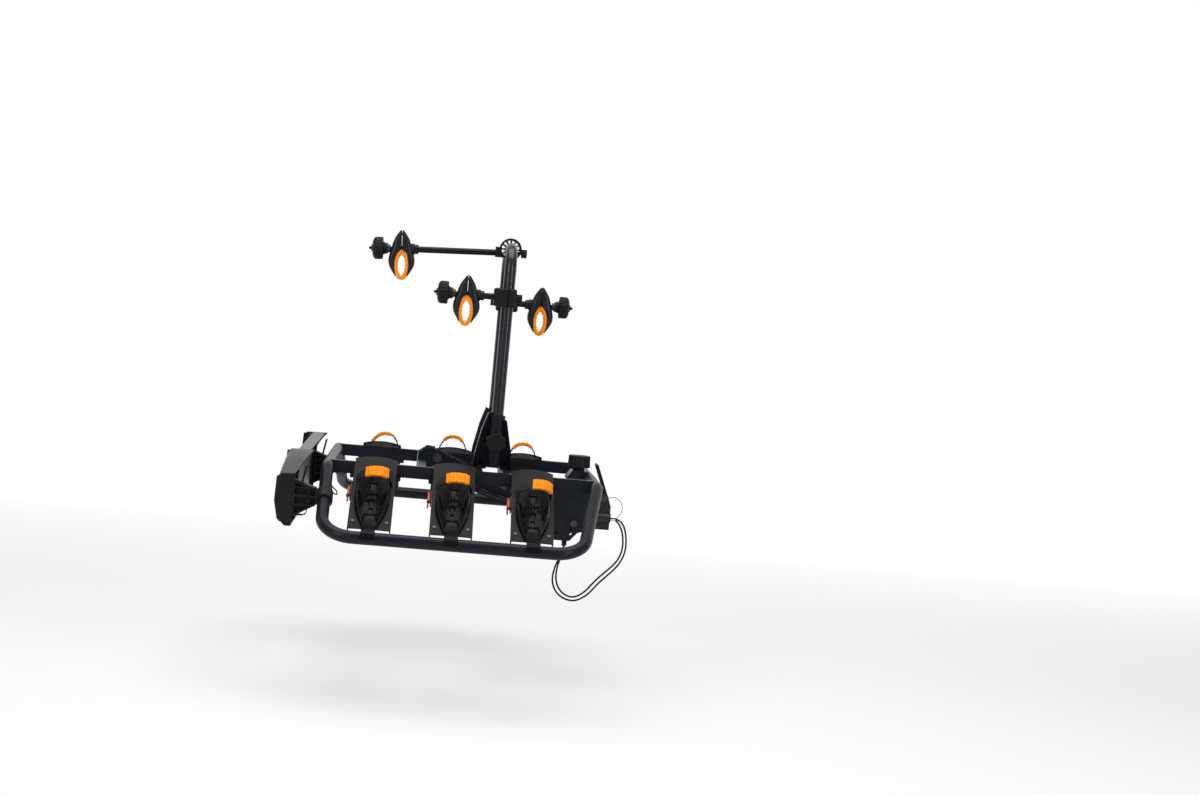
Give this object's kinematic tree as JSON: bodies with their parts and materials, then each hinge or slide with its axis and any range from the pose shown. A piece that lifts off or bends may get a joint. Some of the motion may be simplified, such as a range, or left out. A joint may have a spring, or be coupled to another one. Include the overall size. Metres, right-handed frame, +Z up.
{
  "type": "tow-ball bicycle rack",
  "caption": "Tilting platform rack for bicycles that clamps on a tow ball, with wheel trays, straps, an inverted U mast and jawed frame claws.",
  "frame": {"origin": "centre of the tow ball in the coupling, which carries the rack", "axes": "+X towards the car, +Y across it towards the side of the far trays, +Z up"},
  "size_m": [0.8869, 1.1406, 0.9149],
  "materials": {
    "frame_paint": "satin",
    "casting": "satin",
    "tray_paint": "satin",
    "clamp_paint": "satin",
    "arm_metal": "satin",
    "zinc": "satin",
    "chrome": "polished",
    "wire": "satin",
    "lever_paint": "satin",
    "cable": "matte",
    "black_plastic": "matte",
    "cradle_gloss": "gloss",
    "strap": "matte",
    "orange": "matte",
    "red_lever": "satin",
    "lens": "gloss"
  },
  "bodies": {
    "hitch": {"coupling_body": "casting", "coupling_bracket": "frame_paint", "hitch_beam": "frame_paint", "hitch_fasteners": "zinc", "lanyard": "wire", "lighting_cable_inner": "cable", "lighting_cable_outer": "cable", "connector_plug": "black_plastic", "plug_holder": "black_plastic"},
    "clamp_lever": {"clamp_lever": "lever_paint"},
    "ball_jaw": {"ball_jaw": "casting"},
    "lock_barrel": {"lock_barrel": "chrome"},
    "platform": {"platform_loop": "frame_paint", "platform_rails": "frame_paint", "mast_brackets": "frame_paint", "trays": "tray_paint", "wheel_cradles": "cradle_gloss", "wheel_straps": "strap", "strap_pads": "orange", "tray_clamps": "clamp_paint", "lamp_housing": "black_plastic", "lamp_lenses": "lens", "lamp_brackets": "black_plastic"},
    "lock_knob": {"lock_knob": "black_plastic"},
    "mast": {"mast_tube": "frame_paint"},
    "mast_knob_near": {"mast_knob_near": "black_plastic"},
    "mast_knob_far": {"mast_knob_far": "black_plastic"},
    "arm_top": {"arm_top": "arm_metal", "arm_clamp_top": "black_plastic"},
    "arm_knob_top": {"arm_knob_top": "black_plastic"},
    "claw_top": {"claw_jaw_fixed_top": "black_plastic", "claw_liner_fixed_top": "orange"},
    "claw_jaw_top": {"claw_jaw_moving_top": "black_plastic", "claw_liner_moving_top": "orange"},
    "claw_washer_top": {"claw_washer_top": "zinc"},
    "claw_knob_top": {"claw_knob_top": "black_plastic"},
    "arm_near": {"arm_near": "arm_metal", "arm_clamp_near": "black_plastic"},
    "arm_knob_near": {"arm_knob_near": "black_plastic"},
    "claw_near": {"claw_jaw_fixed_near": "black_plastic", "claw_liner_fixed_near": "orange"},
    "claw_jaw_near": {"claw_jaw_moving_near": "black_plastic", "claw_liner_moving_near": "orange"},
    "claw_washer_near": {"claw_washer_near": "zinc"},
    "claw_knob_near": {"claw_knob_near": "black_plastic"},
    "arm_far": {"arm_far": "arm_metal", "arm_clamp_far": "black_plastic"},
    "arm_knob_far": {"arm_knob_far": "black_plastic"},
    "claw_far": {"claw_jaw_fixed_far": "black_plastic", "claw_liner_fixed_far": "orange"},
    "claw_jaw_far": {"claw_jaw_moving_far": "black_plastic", "claw_liner_moving_far": "orange"},
    "claw_washer_far": {"claw_washer_far": "zinc"},
    "claw_knob_far": {"claw_knob_far": "black_plastic"},
    "buckle_lever_near_1": {"buckle_lever_near_1": "red_lever"},
    "buckle_lever_far_1": {"buckle_lever_far_1": "red_lever"},
    "buckle_lever_near_2": {"buckle_lever_near_2": "red_lever"},
    "buckle_lever_far_2": {"buckle_lever_far_2": "red_lever"},
    "buckle_lever_near_3": {"buckle_lever_near_3": "red_lever"},
    "buckle_lever_far_3": {"buckle_lever_far_3": "red_lever"}
  },
  "joints": [
    {"name": "coupling_lever", "type": "hinge", "parent": "hitch", "child": "clamp_lever", "pos_m": [0.012, 0, 0.066], "axis": [0, 1, 0], "range_deg": [0, 50]},
    {"name": "ball_jaw", "type": "hinge", "parent": "hitch", "child": "ball_jaw", "pos_m": [-0.006, 0, 0.05], "axis": [0, -1, 0], "range_deg": [0, 16]},
    {"name": "key_barrel", "type": "hinge", "parent": "hitch", "child": "lock_barrel", "pos_m": [0.032, -0.036, 0.016], "axis": [1, 0, 0], "range_deg": [0, 90]},
    {"name": "platform_tilt", "type": "hinge", "parent": "hitch", "child": "platform", "pos_m": [-0.423, 0, 0.134], "axis": [0, -1, 0], "range_deg": [0, 30]},
    {"name": "lock_spindle", "type": "hinge", "parent": "platform", "child": "lock_knob", "pos_m": [-0.058, 0, 0.129], "axis": [0, 0, 1], "range_deg": [0, 90]},
    {"name": "mast_slide", "type": "slide", "parent": "platform", "child": "mast", "axis": [0, 0, 1], "range_m": [0, 0.12]},
    {"name": "mast_knob_near", "type": "hinge", "parent": "platform", "child": "mast_knob_near", "pos_m": [-0.283, -0.145, 0.195], "axis": [0, -1, 0], "range_deg": [0, 360]},
    {"name": "mast_knob_far", "type": "hinge", "parent": "platform", "child": "mast_knob_far", "pos_m": [-0.283, 0.145, 0.195], "axis": [0, 1, 0], "range_deg": [0, 360]},
    {"name": "arm_top", "type": "hinge", "parent": "mast", "child": "arm_top", "pos_m": [-0.283, 0, 0.679], "axis": [0, 1, 0], "range_deg": [-25, 60]},
    {"name": "arm_knob_top", "type": "hinge", "parent": "arm_top", "child": "arm_knob_top", "pos_m": [-0.2477, 0, 0.671], "axis": [1, 0, 0], "range_deg": [0, 360]},
    {"name": "claw_turn_top", "type": "hinge", "parent": "arm_top", "child": "claw_top", "pos_m": [-0.5586, 0, 0.65507], "axis": [-0.9985, 0, -0.0541], "range_deg": [-90, 90]},
    {"name": "claw_open_top", "type": "slide", "parent": "claw_top", "child": "claw_washer_top", "axis": [-0.9985, 0, -0.0541], "range_m": [0, 0.02]},
    {"name": "claw_jaw_top", "type": "hinge", "parent": "claw_top", "child": "claw_jaw_top", "pos_m": [-0.56066, 0, 0.69302], "axis": [0, 1, 0], "range_deg": [0, 20]},
    {"name": "claw_knob_top", "type": "hinge", "parent": "claw_washer_top", "child": "claw_knob_top", "pos_m": [-0.5586, 0, 0.65507], "axis": [-0.9985, 0, -0.0541], "range_deg": [0, 1440.01]},
    {"name": "arm_near", "type": "hinge", "parent": "mast", "child": "arm_near", "pos_m": [-0.283, -0.12, 0.555], "axis": [0, 0, -1], "range_deg": [-75, 20]},
    {"name": "arm_knob_near", "type": "hinge", "parent": "arm_near", "child": "arm_knob_near", "pos_m": [-0.2547, -0.12, 0.555], "axis": [1, 0, 0], "range_deg": [0, 360]},
    {"name": "claw_turn_near", "type": "hinge", "parent": "arm_near", "child": "claw_near", "pos_m": [-0.385, -0.12, 0.555], "axis": [-1, 0, 0], "range_deg": [-90, 90]},
    {"name": "claw_open_near", "type": "slide", "parent": "claw_near", "child": "claw_washer_near", "axis": [-1, 0, 0], "range_m": [0, 0.02]},
    {"name": "claw_jaw_near", "type": "hinge", "parent": "claw_near", "child": "claw_jaw_near", "pos_m": [-0.385, -0.12, 0.593], "axis": [0, 1, 0], "range_deg": [0, 20]},
    {"name": "claw_knob_near", "type": "hinge", "parent": "claw_washer_near", "child": "claw_knob_near", "pos_m": [-0.385, -0.12, 0.555], "axis": [-1, 0, 0], "range_deg": [0, 1440.01]},
    {"name": "arm_far", "type": "hinge", "parent": "mast", "child": "arm_far", "pos_m": [-0.283, 0.12, 0.543], "axis": [0, 0, -1], "range_deg": [-75, 20]},
    {"name": "arm_knob_far", "type": "hinge", "parent": "arm_far", "child": "arm_knob_far", "pos_m": [-0.3113, 0.12, 0.543], "axis": [-1, 0, 0], "range_deg": [0, 360]},
    {"name": "claw_turn_far", "type": "hinge", "parent": "arm_far", "child": "claw_far", "pos_m": [-0.186, 0.12, 0.543], "axis": [1, 0, 0], "range_deg": [-90, 90]},
    {"name": "claw_open_far", "type": "slide", "parent": "claw_far", "child": "claw_washer_far", "axis": [1, 0, 0], "range_m": [0, 0.02]},
    {"name": "claw_jaw_far", "type": "hinge", "parent": "claw_far", "child": "claw_jaw_far", "pos_m": [-0.186, 0.12, 0.581], "axis": [0, -1, 0], "range_deg": [0, 20]},
    {"name": "claw_knob_far", "type": "hinge", "parent": "claw_washer_far", "child": "claw_knob_far", "pos_m": [-0.186, 0.12, 0.543], "axis": [1, 0, 0], "range_deg": [0, 1440.01]},
    {"name": "buckle_lever_near_1", "type": "hinge", "parent": "platform", "child": "buckle_lever_near_1", "pos_m": [-0.6273, -0.3712, 0.0665], "axis": [0, 0.8487, 0.529], "range_deg": [0, 60], "stiffness_Nm_per_rad": 0.02},
    {"name": "buckle_lever_far_1", "type": "hinge", "parent": "platform", "child": "buckle_lever_far_1", "pos_m": [-0.6273, 0.3712, 0.0665], "axis": [0, 0.8487, -0.529], "range_deg": [0, 60], "stiffness_Nm_per_rad": 0.02},
    {"name": "buckle_lever_near_2", "type": "hinge", "parent": "platform", "child": "buckle_lever_near_2", "pos_m": [-0.4373, -0.3712, 0.0665], "axis": [0, 0.8487, 0.529], "range_deg": [0, 60], "stiffness_Nm_per_rad": 0.02},
    {"name": "buckle_lever_far_2", "type": "hinge", "parent": "platform", "child": "buckle_lever_far_2", "pos_m": [-0.4373, 0.3712, 0.0665], "axis": [0, 0.8487, -0.529], "range_deg": [0, 60], "stiffness_Nm_per_rad": 0.02},
    {"name": "buckle_lever_near_3", "type": "hinge", "parent": "platform", "child": "buckle_lever_near_3", "pos_m": [-0.2473, -0.3712, 0.0665], "axis": [0, 0.8487, 0.529], "range_deg": [0, 60], "stiffness_Nm_per_rad": 0.02},
    {"name": "buckle_lever_far_3", "type": "hinge", "parent": "platform", "child": "buckle_lever_far_3", "pos_m": [-0.2473, 0.3712, 0.0665], "axis": [0, 0.8487, -0.529], "range_deg": [0, 60], "stiffness_Nm_per_rad": 0.02}
  ],
  "couplings": [
    {"joint": "ball_jaw", "follows": "coupling_lever", "ratio": 0.32},
    {"joint": "claw_jaw_top", "follows": "claw_open_top", "rad_per_m": 17.453},
    {"joint": "claw_knob_top", "follows": "claw_open_top", "rad_per_m": 1256.6},
    {"joint": "claw_jaw_near", "follows": "claw_open_near", "rad_per_m": 17.453},
    {"joint": "claw_knob_near", "follows": "claw_open_near", "rad_per_m": 1256.6},
    {"joint": "claw_jaw_far", "follows": "claw_open_far", "rad_per_m": 17.453},
    {"joint": "claw_knob_far", "follows": "claw_open_far", "rad_per_m": 1256.6}
  ]
}
